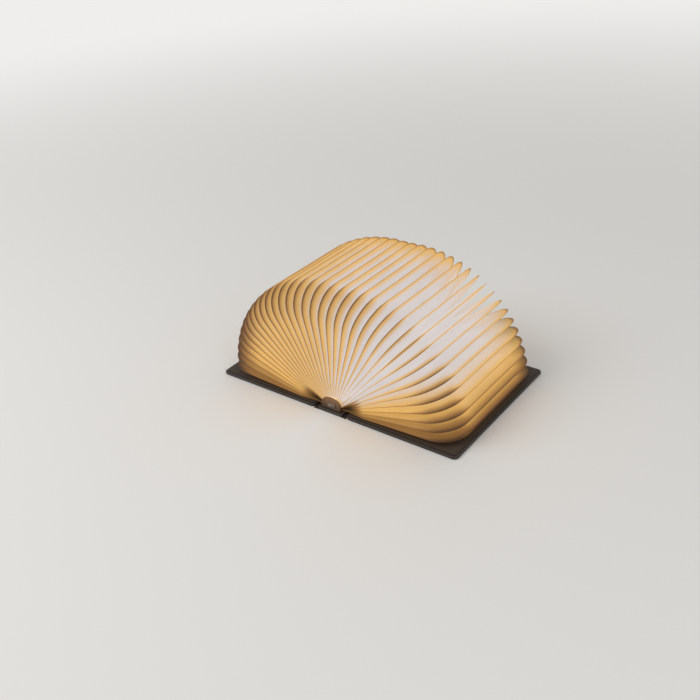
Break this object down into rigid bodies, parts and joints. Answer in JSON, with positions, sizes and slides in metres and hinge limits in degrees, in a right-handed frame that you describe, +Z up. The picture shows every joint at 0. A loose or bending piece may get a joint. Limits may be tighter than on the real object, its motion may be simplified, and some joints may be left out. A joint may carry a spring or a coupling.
{
  "type": "folding book lamp",
  "caption": "Book-shaped lamp that opens flat or right round: hard covers on a lit spine with a fan of pleated paper leaves, charged at the tail.",
  "frame": {"origin": "centre of the bounding box on the plane that the open lamp rests on", "axes": "+X from the left cover to the right cover, +Y along the spine from the tail (charging socket) to the head, +Z up"},
  "size_m": [0.292, 0.17, 0.1274],
  "materials": {
    "cover_cloth": "matt dark brown bookcloth with a fine grain",
    "end_paper": "dark brown fibre paper",
    "leaf_paper": "white fibre paper lit warm from inside",
    "brown_plastic": "satin brown",
    "milky_plastic": "milky, spreads the light",
    "circuit_board": "white solder mask",
    "light_phosphor": "yellow phosphor, lit warm white",
    "battery_foil": "satin foil pouch",
    "plated_steel": "nickel plated",
    "black_plastic": "moulded",
    "switch_glass": "clear green glass"
  },
  "bodies": {
    "spine": {"spine_board": "cover_cloth", "core_tray": "brown_plastic", "light_diffuser": "milky_plastic", "tail_end_cap": "brown_plastic", "head_end_cap": "brown_plastic", "socket_shell": "plated_steel", "socket_tongue": "black_plastic", "battery_cell": "battery_foil", "charge_board": "circuit_board", "reed_switch": "switch_glass", "light_board": "circuit_board", "light_1": "light_phosphor", "light_2": "light_phosphor", "light_3": "light_phosphor", "light_4": "light_phosphor", "left_hinge_cloth": "cover_cloth", "right_hinge_cloth": "cover_cloth", "right_leaf_01": "leaf_paper", "right_leaf_02": "leaf_paper", "right_leaf_03": "leaf_paper", "right_leaf_04": "leaf_paper", "right_leaf_05": "leaf_paper", "right_leaf_06": "leaf_paper", "right_leaf_07": "leaf_paper", "right_leaf_08": "leaf_paper", "right_leaf_09": "leaf_paper", "right_leaf_10": "leaf_paper", "right_leaf_11": "leaf_paper", "right_leaf_12": "leaf_paper", "right_leaf_13": "leaf_paper", "right_leaf_14": "leaf_paper", "right_leaf_15": "leaf_paper", "right_leaf_16": "leaf_paper", "right_leaf_17": "leaf_paper", "right_leaf_18": "leaf_paper", "left_leaf_01": "leaf_paper", "left_leaf_02": "leaf_paper", "left_leaf_03": "leaf_paper", "left_leaf_04": "leaf_paper", "left_leaf_05": "leaf_paper", "left_leaf_06": "leaf_paper", "left_leaf_07": "leaf_paper", "left_leaf_08": "leaf_paper", "left_leaf_09": "leaf_paper", "left_leaf_10": "leaf_paper", "left_leaf_11": "leaf_paper", "left_leaf_12": "leaf_paper", "left_leaf_13": "leaf_paper", "left_leaf_14": "leaf_paper", "left_leaf_15": "leaf_paper", "left_leaf_16": "leaf_paper", "left_leaf_17": "leaf_paper", "left_leaf_18": "leaf_paper"},
    "right_cover": {"right_cover_board": "cover_cloth", "right_cover_lining": "end_paper", "right_cover_magnet": "plated_steel", "switch_magnet": "plated_steel"},
    "left_cover": {"left_cover_board": "cover_cloth", "left_cover_lining": "end_paper", "left_cover_magnet": "plated_steel"}
  },
  "joints": [
    {"name": "right_cover_hinge", "type": "hinge", "parent": "spine", "child": "right_cover", "pos_m": [0.016, 0, 0], "axis": [0, -1, 0], "range_deg": [-96, 90], "deforming": ["right_leaf_01", "right_leaf_02", "right_leaf_03", "right_leaf_04", "right_leaf_05", "right_leaf_06", "right_leaf_07", "right_leaf_08", "right_leaf_09", "right_leaf_10", "right_leaf_11", "right_leaf_12", "right_leaf_13", "right_leaf_14", "right_leaf_15", "right_leaf_16", "right_leaf_17", "right_leaf_18", "right_hinge_cloth"]},
    {"name": "left_cover_hinge", "type": "hinge", "parent": "spine", "child": "left_cover", "pos_m": [-0.016, 0, 0], "axis": [0, 1, 0], "range_deg": [-96, 90], "deforming": ["left_leaf_01", "left_leaf_02", "left_leaf_03", "left_leaf_04", "left_leaf_05", "left_leaf_06", "left_leaf_07", "left_leaf_08", "left_leaf_09", "left_leaf_10", "left_leaf_11", "left_leaf_12", "left_leaf_13", "left_leaf_14", "left_leaf_15", "left_leaf_16", "left_leaf_17", "left_leaf_18", "left_hinge_cloth"]}
  ]
}
